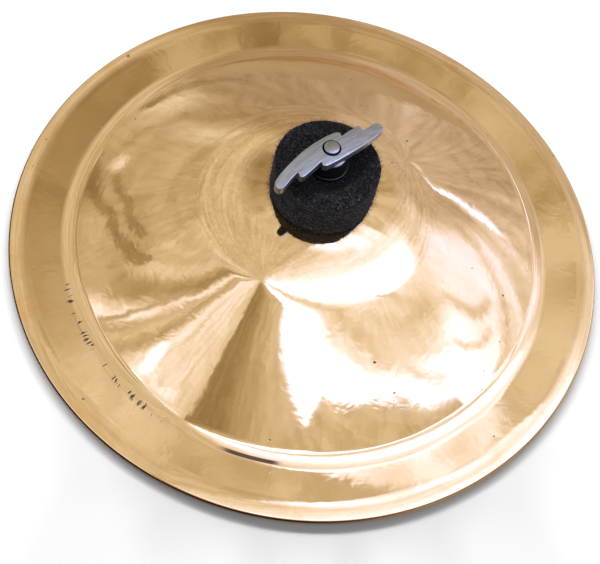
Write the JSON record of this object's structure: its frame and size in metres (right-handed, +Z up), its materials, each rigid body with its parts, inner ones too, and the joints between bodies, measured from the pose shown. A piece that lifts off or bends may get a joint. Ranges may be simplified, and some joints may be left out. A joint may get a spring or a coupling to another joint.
{
  "type": "bell cymbal",
  "caption": "Round polished bronze bell cymbal with a domed cone and a level flange, clamped between felts on a threaded rod by a wing nut.",
  "frame": {"origin": "centre of the bell's rim on the surface that the rim stands on", "axes": "+Z up along the axis of the bell and the rod, towards the wing nut"},
  "size_m": [0.2414, 0.2414, 0.0712],
  "materials": {
    "bronze": "polished",
    "felt": "matt wool felt",
    "nylon": "moulded",
    "bright_steel": "zinc plated",
    "satin_casting": "satin chrome on a casting"
  },
  "bodies": {
    "mount": {"stand_post": "bright_steel", "threaded_rod": "bright_steel", "seat_washer": "bright_steel"},
    "seat": {"rod_sleeve": "nylon", "upper_felt": "felt", "lower_felt": "felt"},
    "bell": {"bell": "bronze"},
    "washer": {"thrust_washer": "bright_steel"},
    "nut": {"wing_nut": "satin_casting"}
  },
  "joints": [
    {"name": "bell_spin", "type": "hinge", "parent": "mount", "child": "seat", "pos_m": [0, 0, 0.0405], "axis": [0, 0, 1], "continuous": true},
    {"name": "bell_rock", "type": "hinge", "parent": "seat", "child": "bell", "pos_m": [0, 0, 0.0408], "axis": [1, 0, 0], "range_deg": [-4, 4], "stiffness_Nm_per_rad": 6, "deforming": ["upper_felt", "lower_felt"]},
    {"name": "nut_lift", "type": "slide", "parent": "mount", "child": "washer", "axis": [0, 0, 1], "range_m": [0, 0.00725]},
    {"name": "nut_turn", "type": "hinge", "parent": "washer", "child": "nut", "pos_m": [0, 0, 0.062], "axis": [0, 0, 1], "range_deg": [0, 2611]}
  ],
  "couplings": [
    {"joint": "nut_turn", "follows": "nut_lift", "rad_per_m": 6283.2}
  ]
}
